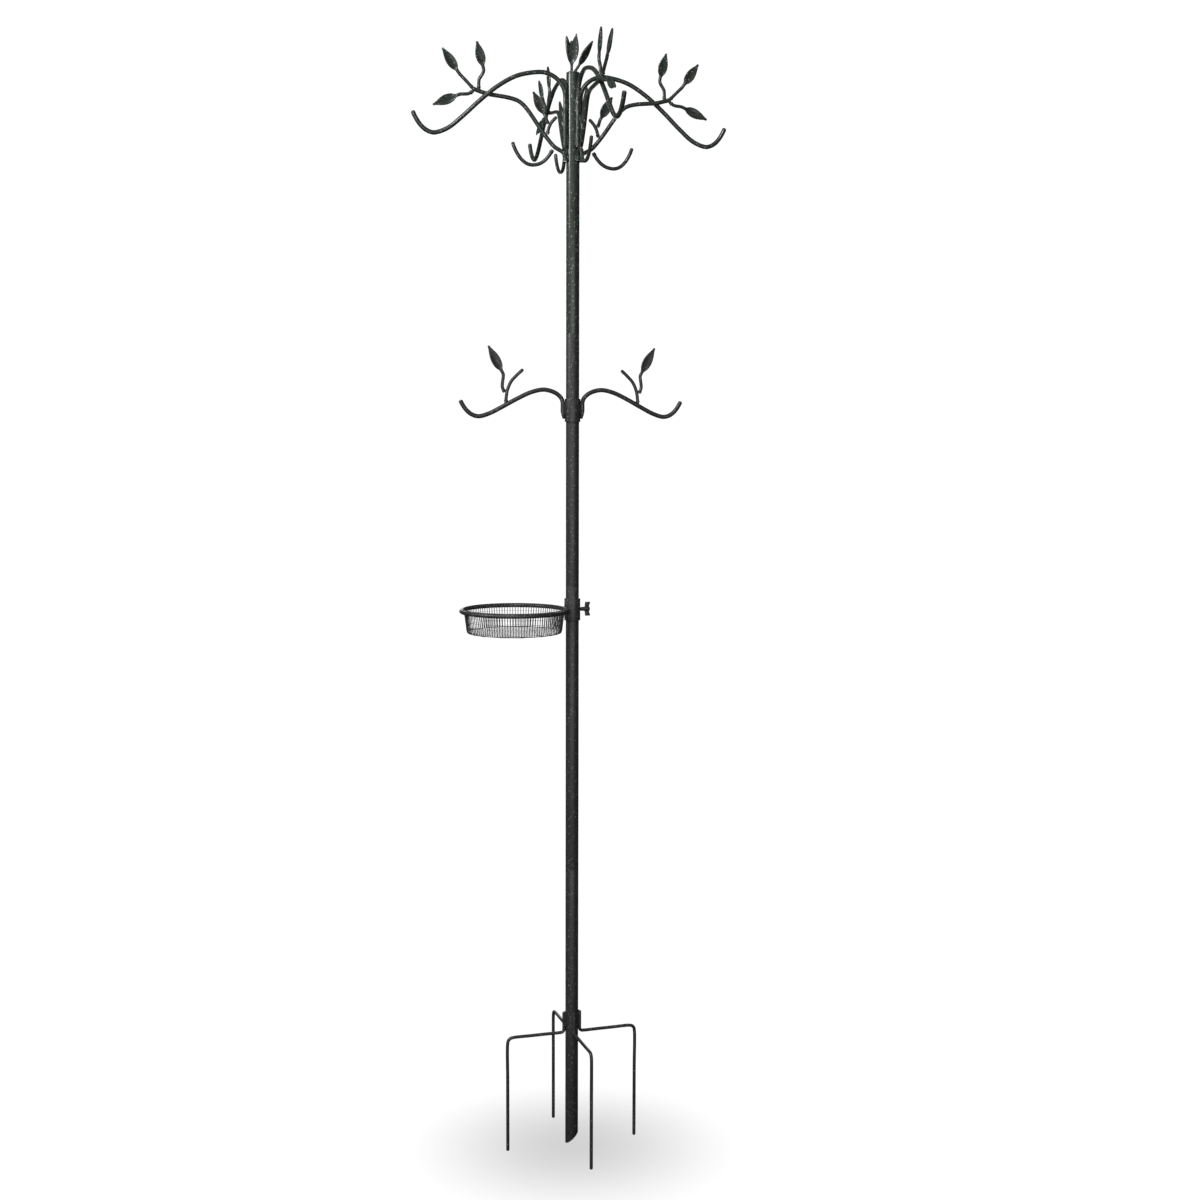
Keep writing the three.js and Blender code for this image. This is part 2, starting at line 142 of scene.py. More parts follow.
def make_floor():
    """A white floor with a painted shadow, a soft grey patch under the pole; bright to the camera only."""
    bpy.ops.mesh.primitive_circle_add(vertices=128, radius=FLOOR_RADIUS, fill_type="NGON", location=(0, 0, 0))
    floor = bpy.context.object
    floor.name = "floor"
    material = bpy.data.materials.new("pale_floor_painted_shadow")
    material.use_nodes = True
    nodes, links = material.node_tree.nodes, material.node_tree.links
    place = nodes.new("ShaderNodeTexCoord")
    spread = nodes.new("ShaderNodeMapping")
    spread.inputs["Location"].default_value = PAINTED_SHADOW_SHIFT
    spread.inputs["Scale"].default_value = (PAINTED_SHADOW_SCALE, PAINTED_SHADOW_SCALE, 1)
    # painted shadow: a round gradient darkens the floor's colour from white to grey under the pole
    shadow_ball = nodes.new("ShaderNodeTexGradient")
    shadow_ball.gradient_type = "SPHERICAL"
    shadow_fade = nodes.new("ShaderNodeMapRange")
    shadow_fade.interpolation_type = "SMOOTHSTEP"
    shadow_fade.inputs["From Max"].default_value = 1
    shadow_fade.inputs["To Min"].default_value = FLOOR_WHITE
    shadow_fade.inputs["To Max"].default_value = PAINTED_SHADOW_GREY
    glow = nodes.new("ShaderNodeEmission")
    links.new(place.outputs["Object"], spread.inputs["Vector"])
    links.new(spread.outputs["Vector"], shadow_ball.inputs["Vector"])
    links.new(shadow_ball.outputs["Fac"], shadow_fade.inputs["Value"])
    links.new(shadow_fade.outputs["Result"], glow.inputs["Color"])
    links.new(glow_strength(nodes, links, *GLOW_ON_FLOOR), glow.inputs["Strength"])
    links.new(glow.outputs["Emission"], nodes["Material Output"].inputs["Surface"])
    nodes.remove(nodes["Principled BSDF"])
    floor.data.materials.append(material)


# ---------------------------------------------------------------- materials

MOTTLE, WEAR, DIMPLES, GRAINS = 170, 14, 620, 330  # patterns of the powder coat, repeats per metre
FLECK_RANGE = (0.86, 0.9)  # the grains that show as flecks, by their random value
RUNS, DRIPS = 300, 60  # patterns of the wire's paint, repeats per metre


def new_material(name):
    material = bpy.data.materials.new(name)
    material.use_nodes = True
    return material, material.node_tree.nodes, material.node_tree.links


def noise(nodes, links, place, scale, detail):
    texture = nodes.new("ShaderNodeTexNoise")
    texture.inputs["Scale"].default_value = scale
    texture.inputs["Detail"].default_value = detail
    links.new(place.outputs["Object"], texture.inputs["Vector"])
    return texture


def mixed(nodes, links, factor, low, high):
    """A colour between two, or between a socket and a colour, by factor."""
    mix = nodes.new("ShaderNodeMix")
    mix.data_type = "RGBA"
    links.new(factor, mix.inputs["Factor"])
    for socket, value in ((mix.inputs["A"], low), (mix.inputs["B"], high)):
        if isinstance(value, tuple):
            socket.default_value = (*value, 1)
        else:
            links.new(value, socket)
    return mix.outputs["Result"]


def ranged(nodes, links, value, low, high, to_low, to_high):
    step = nodes.new("ShaderNodeMapRange")
    step.inputs["From Min"].default_value = low
    step.inputs["From Max"].default_value = high
    step.inputs["To Min"].default_value = to_low
    step.inputs["To Max"].default_value = to_high
    links.new(value, step.inputs["Value"])
    return step.outputs["Result"]


def bumped(nodes, links, pattern, shader, strength, distance):
    """Dents the shader's surface by a noise pattern."""
    bump = nodes.new("ShaderNodeBump")
    bump.inputs["Strength"].default_value = strength
    bump.inputs["Distance"].default_value = distance
    links.new(pattern.outputs["Fac"], bump.inputs["Height"])
    links.new(bump.outputs["Normal"], shader.inputs["Normal"])


def powder_coat(name, dark, light, fleck, rough, gloss):
    """Hammered powder coat: mottled colour, pale flecks, and a dimpled skin with worn, smoother patches.
    gloss is the weight of the clear layer over it."""
    material, nodes, links = new_material(name)
    shader = nodes["Principled BSDF"]
    place = nodes.new("ShaderNodeTexCoord")
    mottle = noise(nodes, links, place, MOTTLE, 3)
    wear = noise(nodes, links, place, WEAR, 2)
    dimples = noise(nodes, links, place, DIMPLES, 2)
    grains = nodes.new("ShaderNodeTexVoronoi")
    grains.inputs["Scale"].default_value = GRAINS
    links.new(place.outputs["Object"], grains.inputs["Vector"])
    spread = nodes.new("ShaderNodeSeparateColor")
    links.new(grains.outputs["Color"], spread.inputs["Color"])
    chosen = ranged(nodes, links, spread.outputs["Red"], *FLECK_RANGE, 0, 1)
    core = ranged(nodes, links, grains.outputs["Distance"], 0.25, 0.5, 0.8, 0)
    flecks = nodes.new("ShaderNodeMath")
    flecks.operation = "MULTIPLY"
    links.new(chosen, flecks.inputs[0])
    links.new(core, flecks.inputs[1])
    base = mixed(nodes, links, ranged(nodes, links, mottle.outputs["Fac"], 0.3, 0.7, 0, 1), dark, light)
    links.new(mixed(nodes, links, flecks.outputs["Value"], base, fleck), shader.inputs["Base Color"])
    links.new(ranged(nodes, links, wear.outputs["Fac"], 0.35, 0.65, rough - 0.05, rough + 0.06),
              shader.inputs["Roughness"])
    shader.inputs["Metallic"].default_value = 0.0
    shader.inputs["Specular IOR Level"].default_value = 0.5
    shader.inputs["Coat Weight"].default_value = gloss
    shader.inputs["Coat Roughness"].default_value = 0.13
    bumped(nodes, links, dimples, shader, strength=0.3, distance=0.35 * MM)
    return material


def wire_material():
    """Thin painted wire, with a little bright metal showing through where the paint is thin."""
    material, nodes, links = new_material("painted_wire")
    shader = nodes["Principled BSDF"]
    place = nodes.new("ShaderNodeTexCoord")
    runs = noise(nodes, links, place, RUNS, 3)
    drips = noise(nodes, links, place, DRIPS, 2)
    bare = ranged(nodes, links, runs.outputs["Fac"], 0.6, 0.75, 0, 1)
    base = mixed(nodes, links, ranged(nodes, links, drips.outputs["Fac"], 0.3, 0.7, 0, 1),
                 (0.05, 0.051, 0.05), (0.09, 0.091, 0.089))
    links.new(mixed(nodes, links, bare, base, (0.30, 0.30, 0.295)), shader.inputs["Base Color"])
    links.new(ranged(nodes, links, runs.outputs["Fac"], 0.3, 0.7, 0.5, 0.34), shader.inputs["Roughness"])
    shader.inputs["Metallic"].default_value = 0.3
    bumped(nodes, links, runs, shader, strength=0.4, distance=0.2 * MM)
    return material


LOWER_COAT = powder_coat("lower_coat", dark=(0.024, 0.026, 0.024), light=(0.041, 0.044, 0.041),
                         fleck=(0.22, 0.23, 0.22), rough=0.42, gloss=0.04)
UPPER_COAT = powder_coat("upper_coat", dark=(0.022, 0.028, 0.023), light=(0.042, 0.052, 0.043),
                         fleck=(0.36, 0.40, 0.36), rough=0.33, gloss=0.22)
WIRE = wire_material()


# ---------------------------------------------------------------- reading the CAD frame

POINTS_PER_METRE = 1e5  # grid on which CAD points count as equal
CAD_ROD_SIDES = (6, 8)


def merged_mesh(node):
    """Points, links between points, and faces of a CAD node, with equal points merged."""
    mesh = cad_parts[node].data
    index, points, merged = {}, [], []
    for vertex in mesh.vertices:
        key = tuple(round(c * POINTS_PER_METRE) for c in vertex.co)
        if key not in index:
            index[key] = len(points)
            points.append(np.array(vertex.co))
        merged.append(index[key])
    links = [set() for _ in points]
    for edge in mesh.edges:
        a, b = (merged[i] for i in edge.vertices)
        links[a].add(b)
        links[b].add(a)
    faces = [([merged[i] for i in face.vertices], np.array(face.normal)) for face in mesh.polygons]
    return np.array(points), links, faces


def end_rings(points, faces):
    """The rings of points round a rod's flat ends: flat faces whose corners lie on a circle."""
    flats = []
    for corners, normal in faces:
        height = normal @ points[corners[0]]
        for flat_normal, flat_height, flat in flats:
            if normal @ flat_normal > 0.99 and abs(height - flat_height) < 0.1 * MM:
                flat.update(corners)
                break
        else:
            flats.append((normal, height, set(corners)))
    rings = []
    for _, _, flat in flats:
        corners = points[list(flat)]
        reach = np.linalg.norm(corners - corners.mean(0), axis=1)
        if len(flat) in CAD_ROD_SIDES and np.ptp(reach) < 0.05 * MM:
            rings.append(flat)
    return rings


def centre_line(node, start):
    """The centre line of a CAD rod, from its end nearest to start, and the rod's radius."""
    points, links, faces = merged_mesh(node)
    longest, radius = [], 0
    for ring in end_rings(points, faces):
        sides, line, seen = len(ring), [], set()
        reach = np.linalg.norm(points[list(ring)] - points[list(ring)].mean(0), axis=1).mean()
        while len(ring) == sides:
            line.append(points[list(ring)].mean(0))
            seen |= ring
            ring = set().union(*(links[i] for i in ring)) - seen
        if len(line) > len(longest):
            longest, radius = line, reach
    if np.linalg.norm(longest[-1] - start) < np.linalg.norm(longest[0] - start):
        longest.reverse()
    return np.array(longest), radius


def blade_frame(node, foot):
    """Tip of a CAD leaf, and the direction across its blade."""
    points = merged_mesh(node)[0]
    reach = np.linalg.norm(points - foot, axis=1)
    tip = points[reach.argmax()]
    far = points[reach > 0.5 * reach.max()] - tip
    along = far.mean(0) / np.linalg.norm(far.mean(0))
    flat = far - np.outer(far @ along, along)
    across = np.linalg.svd(flat)[2][0]
    return tip, across


# ---------------------------------------------------------------- mesh helpers

SHARP_ANGLE = math.radians(38)  # edges sharper than this stay crisp
CURVE_STEPS = 12  # between two given points of a curve
DOME_SHARE = 0.8  # height of the dome on a rod's end, as a share of the rod's radius
DOME_STEPS = 8
FOOT_SHARE = 0.45  # a narrowed foot's radius, as a share of the rod's
ROD_SIDES = 22


def add_mesh(name, vertices, faces, coat, smooth=True):
    mesh = bpy.data.meshes.new(name)
    mesh.from_pydata([tuple(v) for v in vertices], [], faces)
    mesh.validate()
    mesh.update()
    if smooth:
        mesh.shade_smooth()
        mesh.set_sharp_from_angle(angle=SHARP_ANGLE)
    piece = bpy.data.objects.new(name, mesh)
    piece.data.materials.append(coat)
    bpy.context.scene.collection.objects.link(piece)
    return piece


def finish_piece(piece, body, slot, *nodes):
    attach(piece, body)
    if nodes:
        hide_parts(*nodes)


def smooth_line(points, step):
    """Points at even steps along a smooth curve, a centripetal Catmull-Rom one, through the given points."""
    points = np.asarray(points, float)
    ends = (2 * points[0] - points[1], 2 * points[-1] - points[-2])
    knots = np.vstack([ends[0], points, ends[1]])
    fine = []
    for i in range(1, len(knots) - 2):
        a, b, c, d = knots[i - 1:i + 3]
        ta = 0.0
        tb = ta + np.linalg.norm(b - a) ** 0.5
        tc = tb + np.linalg.norm(c - b) ** 0.5
        td = tc + np.linalg.norm(d - c) ** 0.5
        for t in np.linspace(tb, tc, CURVE_STEPS, endpoint=False):
            ab = ((tb - t) * a + (t - ta) * b) / (tb - ta)
            bc = ((tc - t) * b + (t - tb) * c) / (tc - tb)
            cd = ((td - t) * c + (t - tc) * d) / (td - tc)
            abc = ((tc - t) * ab + (t - ta) * bc) / (tc - ta)
            bcd = ((td - t) * bc + (t - tb) * cd) / (td - tb)
            fine.append(((tc - t) * abc + (t - tb) * bcd) / (tc - tb))
    fine.append(points[-1])
    fine = np.array(fine)
    length = np.concatenate([[0], np.cumsum(np.linalg.norm(np.diff(fine, axis=0), axis=1))])
    even = np.linspace(0, length[-1], max(2, round(length[-1] / step) + 1))
    return np.column_stack([np.interp(even, length, fine[:, k]) for k in range(3)])


def tangents(line):
    run = np.gradient(line, axis=0)
    return run / np.linalg.norm(run, axis=1)[:, None]


def square_to(run):
    """A direction square to run, of any length."""
    return np.cross(run, (0, 0, 1) if abs(run[2]) < 0.9 else (1, 0, 0))


def carried_frames(line):
    """Two directions square to the line at each of its points, carried along it without twist."""
    run = tangents(line)
    side = square_to(run[0])
    sides = []
    for t in run:
        side = side - t * (side @ t)
        side = side / np.linalg.norm(side)
        sides.append(side)
    sides = np.array(sides)
    return sides, np.cross(run, sides)


def circle(centre, radius, side, other, sides):
    """Points round a circle, from side towards other."""
    angles = np.linspace(0, 2 * math.pi, sides, endpoint=False)
    return centre + radius * (np.outer(np.cos(angles), side) + np.outer(np.sin(angles), other))


def turned_over(vertices, faces):
    """The same skin with its faces turned to look the other way."""
    return vertices, [tuple(reversed(face)) for face in faces]


def skin(rings, closed=False):
    """Vertices and faces of a skin over rings of equal size, with its ends closed by flat faces."""
    count, sides = len(rings), len(rings[0])
    vertices = np.concatenate(rings)
    faces = []
    for i in range(count if closed else count - 1):
        low, high = i * sides, ((i + 1) % count) * sides
        for j in range(sides):
            k = (j + 1) % sides
            faces.append((low + j, low + k, high + k, high + j))
    if not closed:
        faces.append(tuple(reversed(range(sides))))
        faces.append(tuple(range((count - 1) * sides, count * sides)))
    return vertices, faces


def round_ends(line, radius, dome):
    """The line and radii with a dome of the given height on its far end, and a flat end at its foot."""
    length = np.concatenate([[0], np.cumsum(np.linalg.norm(np.diff(line, axis=0), axis=1))])
    total = length[-1]
    inner = length[length < total - dome * 1.05]
    rises = np.sin(np.linspace(0, math.pi / 2, DOME_STEPS))
    places = np.concatenate([inner, total - dome + dome * rises])
    points = np.column_stack([np.interp(places, length, line[:, k]) for k in range(3)])
    closeness = np.clip(1 - (total - places) / dome, 0, 1)
    return points, radius * np.sqrt(np.clip(1 - (closeness ** 2) * 0.98, 0.02, 1))


def sunk_foot(line, depth):
    """The line with its first end run on into the parent it leaves."""
    run = line[0] - line[1]
    return np.vstack([line[0] + run / np.linalg.norm(run) * depth, line])


def longer_end(line, reach):
    """The line with its far end run on by reach."""
    run = line[-1] - line[-2]
    return np.vstack([line, line[-1] + run / np.linalg.norm(run) * reach])


def rod_mesh(line, radius, taper=0.0):
    """A round rod along the line, its far end domed and its foot narrowed towards the pole over the taper."""
    points, radii = round_ends(line, radius, DOME_SHARE * radius)
    if taper:
        run = np.linalg.norm(points - points[0], axis=1)
        radii = radii * (FOOT_SHARE + (1 - FOOT_SHARE) * np.clip(run / taper, 0, 1) ** 0.7)
        inward = points[0] * (-1, -1, 0) / np.linalg.norm(points[0][:2])
        points = points + np.outer((radius - radii) * (run < taper), inward)
    side, other = carried_frames(points)
    return skin([circle(*ring, ROD_SIDES) for ring in zip(points, radii, side, other)])


def joined_mesh(name, parts, coat):
    """One piece from several (vertices, faces)."""
    vertices, faces = [], []
    for points, corners in parts:
        offset = sum(len(v) for v in vertices)
        vertices.append(np.asarray(points))
        faces += [tuple(i + offset for i in face) for face in corners]
    return add_mesh(name, np.concatenate(vertices), faces, coat)


def lathe_mesh(profile, segments):
    """A closed outline of (radius, height) turned about the upright axis."""
    angles = np.linspace(0, 2 * math.pi, segments, endpoint=False)
    outline = np.asarray(profile)
    rings = [np.column_stack([outline[:, 0] * math.cos(a), outline[:, 0] * math.sin(a), outline[:, 1]])
             for a in angles]
    return turned_over(*skin(rings, closed=True))


def rounded_outline(corners, radius, steps=4):
    """The outline with each corner rounded by a small arc."""
    corners = [np.array(c, float) for c in corners]
    rounded = []
    for i, corner in enumerate(corners):
        before, after = corners[i - 1] - corner, corners[(i + 1) % len(corners)] - corner
        cut = min(radius, 0.45 * np.linalg.norm(before), 0.45 * np.linalg.norm(after))
        a = corner + before / np.linalg.norm(before) * cut
        b = corner + after / np.linalg.norm(after) * cut
        for t in np.linspace(0, 1, steps):
            rounded.append((1 - t) ** 2 * a + 2 * t * (1 - t) * corner + t ** 2 * b)
    return rounded


def cut_away(piece, tool):
    """Cuts tool out of piece for good, and removes tool."""
    modifier = piece.modifiers.new("cut", "BOOLEAN")
    modifier.operation = "DIFFERENCE"
    modifier.solver = "EXACT"
    modifier.object = tool
    graph = bpy.context.evaluated_depsgraph_get()
    mesh = bpy.data.meshes.new_from_object(piece.evaluated_get(graph))
    piece.modifiers.clear()
    piece.data = mesh
    mesh.shade_smooth()
    mesh.set_sharp_from_angle(angle=SHARP_ANGLE)
    bpy.data.objects.remove(tool)


def cylinder_tool(start, end, radius):
    line = np.array([start, end], float)
    rings = [circle(p, radius, side, other, 64) for p, side, other in zip(line, *carried_frames(line))]
    return add_mesh("tool", *skin(rings), LOWER_COAT, smooth=False)


def turned_mesh(profile, axis_start, axis, segments=48):
    """A solid of revolution: (distance along the axis, radius) from end to end."""
    axis = np.asarray(axis, float)
    line = np.array([np.asarray(axis_start) + axis * along for along, _ in profile])
    side = square_to(axis)
    side = side / np.linalg.norm(side)
    other = np.cross(axis, side)
    return skin([circle(p, radius, side, other, segments) for p, (_, radius) in zip(line, profile)])


# ---------------------------------------------------------------- welds

BEAD_R = 1.25 * MM
BEAD_STEP = 0.4 * MM
RIPPLE = 2.2 * MM  # from one ripple of a weld bead to the next
RIPPLE_HEIGHT = 0.09  # shares of the bead's radius
RIPPLE_DRIFT = 0.05
BEAD_SIDES = 12
RING_STEPS = 40  # round a ring of weld
RING_SIDES = 10
LEG_WELD_OUT = 0.2  # a leg's beads from the pole's surface, and off to each side, in radii of the leg
LEG_WELD_ASIDE = 0.72


def rippled(length, radius):
    """Radius along a weld bead: overlapping ripples, each a little different."""
    phase = length / RIPPLE
    return radius * (0.93 + RIPPLE_HEIGHT * np.abs(np.sin(math.pi * phase))
                     + RIPPLE_DRIFT * np.sin(1.7 * phase + 1))


def weld_bead(start, end):
    """A straight rippled bead, thinner towards its ends."""
    start, end = np.asarray(start), np.asarray(end)
    steps = max(8, round(np.linalg.norm(end - start) / BEAD_STEP))
    share = np.linspace(0, 1, steps)
    line = start + np.outer(share, end - start)
    length = share * np.linalg.norm(end - start)
    ends = np.minimum(1, 0.15 + 3.2 * np.sqrt(np.minimum(share, 1 - share)))
    radii = rippled(length, BEAD_R) * ends
    side, other = carried_frames(line)
    return skin([circle(*ring, BEAD_SIDES) for ring in zip(line, radii, side, other)])


def weld_ring(foot, run, radius):
    """A rippled fillet round the foot of a rod that leaves along run."""
    run = np.asarray(run) / np.linalg.norm(run)
    side = square_to(run)
    side = side / np.linalg.norm(side)
    other = np.cross(run, side)
    angles = np.linspace(0, 2 * math.pi, RING_STEPS, endpoint=False)
    radii = rippled(angles * radius, 0.9 * BEAD_R)
    rings = []
    for a, r in zip(angles, radii):
        out = side * math.cos(a) + other * math.sin(a)
        rings.append(circle(foot + out * radius, r, out, run, RING_SIDES))
    return turned_over(*skin(rings, closed=True))


def weld_knot(centre, radius):
    """A lump of weld round the place where several stems meet."""
    rows, sides = 12, 18
    first = 0.15  # of a row, from the knot's bottom to its first ring
    rings = []
    for i in range(rows + 1):
        lift = math.pi * (i + first) / (rows + 2 * first)
        around = np.linspace(0, 2 * math.pi, sides, endpoint=False)
        reach = radius * (1 + 0.06 * np.sin(3 * around + 2 * lift) + 0.05 * np.sin(5 * around - 4 * lift))
        rings.append(centre + np.column_stack([reach * math.sin(lift) * np.cos(around),
                                               reach * math.sin(lift) * np.sin(around),
                                               np.full(sides, -radius * math.cos(lift))]))
    return skin(rings)


def leg_welds(line, rod_radius, pole_radius, low, high):
    """Two beads in the corners between a pole and a rod that runs up it, from low to high."""
    centre = line[0][:2]
    out = centre / np.linalg.norm(centre)
    around = np.array((-out[1], out[0]))
    beads = []
    for hand in (-1, 1):
        place = out * (pole_radius + LEG_WELD_OUT * rod_radius) + around * hand * LEG_WELD_ASIDE * rod_radius
        beads.append(weld_bead((*place, low), (*place, high)))
    return beads


# ---------------------------------------------------------------- pole

WALL = 1.5 * MM
SPIGOT_LENGTH = 45 * MM
SPIGOT_PLAY = 0.4 * MM
END_PLAY = 0.15 * MM  # between a section's end and the shoulder below it
SPIGOT_THINNING = 0.1 * MM  # of the spigot's wall, against the tube's
SWAGE = 2 * MM
STAKE_CUT = 0.9  # rise of the stake's slanted end per metre across
TUBE_EDGE_R = 0.3 * MM
LATHE_SEGMENTS = 96
POLE_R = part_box("lower_tube")[1].x

CAP_PLAY = 0.6 * MM  # round the cap's plug
CAP_RIM = 4 * MM  # height of the part that shows
CAP_STRAIGHT = 1.2 * MM  # height of the rim's straight side
CAP_SHOULDER = 2.8 * MM  # height of its rounded shoulder
CAP_INSET = 5 * MM  # width of the shoulder
CAP_CROWN = 0.25 * MM  # rise of the crown in the middle


def tube_piece(node, body, coat, slot, spigot):
    """A pole section, with or without a spigot at its top for the section above."""
    low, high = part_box(node)[0].z + END_PLAY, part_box(node)[1].z
    bore = POLE_R - WALL
    if spigot:
        shoulder = high - SPIGOT_LENGTH
        inner = bore - SPIGOT_PLAY
        outline = [(bore, low), (POLE_R, low), (POLE_R, shoulder), (inner, shoulder), (inner, high),
                   (inner - WALL + SPIGOT_THINNING, high), (inner - WALL + SPIGOT_THINNING, shoulder - SWAGE),
                   (bore, shoulder - 2 * SWAGE)]
    else:
        outline = [(bore, low), (POLE_R, low), (POLE_R, high), (bore, high)]
    vertices, faces = lathe_mesh(rounded_outline(outline, TUBE_EDGE_R), LATHE_SEGMENTS)
    if node == "stake_tube":
        cut = vertices[:, 2] < low + 1 * MM
        vertices[cut, 2] += (vertices[cut, 0] + POLE_R) * STAKE_CUT
    finish_piece(add_mesh(node + "_steel", vertices, faces, coat), body, slot, node)


def cap_piece():
    """The cap: a plug inside the tube, and a rounded top over its end."""
    low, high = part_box("pole_cap")
    plug = POLE_R - WALL - CAP_PLAY
    rim = high.z - CAP_RIM
    dome = [(rim + CAP_STRAIGHT + CAP_SHOULDER * math.sin(a), POLE_R - CAP_INSET * (1 - math.cos(a)))
            for a in np.linspace(0, math.pi / 2, 9)]
    top = [(high.z + CAP_CROWN * (1 - share ** 2), (POLE_R - CAP_INSET) * share)
           for share in (0.75, 0.5, 0.25, 0.02)]
    profile = [(low.z, plug - 0.5 * MM), (low.z + 0.5 * MM, plug), (rim, plug), (rim, POLE_R - TUBE_EDGE_R),
               (rim + TUBE_EDGE_R, POLE_R), *dome, *top]
    vertices, faces = turned_mesh(profile, (0, 0, 0), (0, 0, 1), LATHE_SEGMENTS)
    finish_piece(add_mesh("pole_cap_steel", vertices, faces, UPPER_COAT), "canopy", UPPER_SLOT, "pole_cap")


# ---------------------------------------------------------------- rods

ROD_STEP = 3 * MM
END_REACH = 1.2 * MM  # by which a dome stands past the flat end of the CAD rod
TWIG_SINK = 4 * MM


def rod_piece(node, body, coat, slot, start, sink=0.0, reach=END_REACH, taper=0.0):
    """The smooth rod that stands for a CAD rod. Its foot sinks into its parent, or narrows over taper."""
    line, radius = centre_line(node, np.array(start))
    fine = smooth_line(line, ROD_STEP)
    whole = sunk_foot(fine, sink) if sink else fine
    whole = longer_end(whole, reach) if reach else whole
    vertices, faces = rod_mesh(whole, radius, taper)
    finish_piece(add_mesh(node + "_steel", vertices, faces, coat), body, slot, node)
    return fine, radius


# ---------------------------------------------------------------- leaves

LEAF_WIDTH = 18 * MM
TIP_WIDTH = 0.5 * MM
RIM_HALF = 2.1 * MM  # half thickness at the leaf's rim
HOLLOW_HALF = 0.35 * MM  # half thickness at the bottom of the spoon-shaped hollows on both faces
HOLLOW_END = 0.8  # share of the blade's length that is hollowed
HOLLOW_WIDTH = 0.86  # share of the blade's width that is hollowed
MIDRIB = 0.16 * MM
MIDRIB_WIDTH = 0.09  # share of the blade's half width
STEM_BLEND = 0.2  # share of the blade over which the stem flattens into it
BLADE_START = 0.01  # share of the blade where that begins
PINCH = 0.03  # share of the blade at its tip that is pinched to a point
LEAF_SIDES = 48
LEAF_STEP = 1.5 * MM
LEAF_SINK = 3.5 * MM


def leaf_section(width, share, angles):
    """Across and through a blade: raised rims, a spoon-shaped hollow on each face, and a faint midrib."""
    across = np.cos(angles)
    facing = np.sign(np.sin(angles))
    spoon = 0.0
    if share < HOLLOW_END:
        spoon = np.clip(math.sin(math.pi * (share / HOLLOW_END) ** 0.75), 0, 1)
    bowl = np.clip(1 - np.abs(across / HOLLOW_WIDTH) ** 2.2, 0, 1)
    half = RIM_HALF - (RIM_HALF - HOLLOW_HALF) * spoon * bowl
    midrib = MIDRIB * np.exp(-(across / MIDRIB_WIDTH) ** 2) * (1 - share)
    edge = np.sqrt(np.clip(1 - np.abs(across) ** 10, 0, 1))
    thin = min(1, width / (0.3 * LEAF_WIDTH))
    through = facing * (half + midrib) * (0.5 + 0.5 * thin) * edge
    return across * width / 2, through


def leaf_width(share):
    """Width of a blade at a share of its length, widest a little nearer the stem than the middle."""
    return LEAF_WIDTH * max(0.0, math.sin(math.pi * min(1, share) ** 0.85)) + TIP_WIDTH


def foot_weld(line, radius, rise):
    """A ring of weld round the foot of a stem, raised along it."""
    run = line[1] - line[0]
    return weld_ring(line[0] + rise * run / np.linalg.norm(run), run, radius)


def leaf_mesh(stem, base, tip, across, stem_radius):
    """A stem that flattens into a pointed, dished blade."""
    along = tip - base
    length = np.linalg.norm(along)
    along = along / length
    normal = np.cross(across, along)
    normal = normal / np.linalg.norm(normal)
    shares = np.concatenate([np.linspace(0, 0.9, 45), np.linspace(0.92, 1, 8)])
    blade = base + np.outer(shares, along * length)
    stem = stem[np.linalg.norm(stem - base, axis=1) > LEAF_STEP]
    line = np.vstack([stem, blade])
    run = tangents(line)
    angles = np.linspace(0, 2 * math.pi, LEAF_SIDES, endpoint=False)
    shares = np.concatenate([np.zeros(len(stem)), shares])
    rings = []
    for point, t, share in zip(line, run, shares):
        n = normal - t * (normal @ t)
        n = n / np.linalg.norm(n)
        wide = np.cross(t, n)
        rise = min(1, max(0, (share - BLADE_START) / STEM_BLEND))
        blend = rise * rise * (3 - 2 * rise)
        width = leaf_width(share)
        flat_x, flat_y = leaf_section(width, share, angles)
        wider = max(width / 2, stem_radius * (1 - 0.25 * blend))
        flat_x = flat_x * wider / (width / 2)
        x = stem_radius * np.cos(angles) * (1 - blend) + flat_x * blend
        y = stem_radius * np.sin(angles) * (1 - blend) + flat_y * blend
        if share > 1 - PINCH:
            kept = (1 - share) / PINCH
            x, y = x * (0.25 + 0.75 * kept), y * (0.35 + 0.65 * kept)
        rings.append(point + np.outer(x, wide) + np.outer(y, n))
    return skin(rings)


def leaf_piece(node, body, coat, slot, start):
    """The forged leaf that stands for a CAD leaf with its stem. The stem's foot sinks into its parent."""
    line, radius = centre_line(node, np.array(start))
    tip, across = blade_frame(node, line[0])
    base = line[-1]
    stem = sunk_foot(smooth_line(line, LEAF_STEP), LEAF_SINK)
    vertices, faces = leaf_mesh(stem, base, tip, across, radius)
    finish_piece(add_mesh(node + "_steel", vertices, faces, coat), body, slot, node)
    return line, radius


# ---------------------------------------------------------------- canopy

FOOT_OUT = 16 * MM  # from the pole's axis, near the feet of the rods that run up it
HOOK_WELD_TOP = 88 * MM  # above the big hook's foot


def outward(side):
    """Unit vector out from the pole on a side."""
    angle = math.pi / 2 * SIDES.index(side)
    return np.array((math.cos(angle), math.sin(angle), 0))


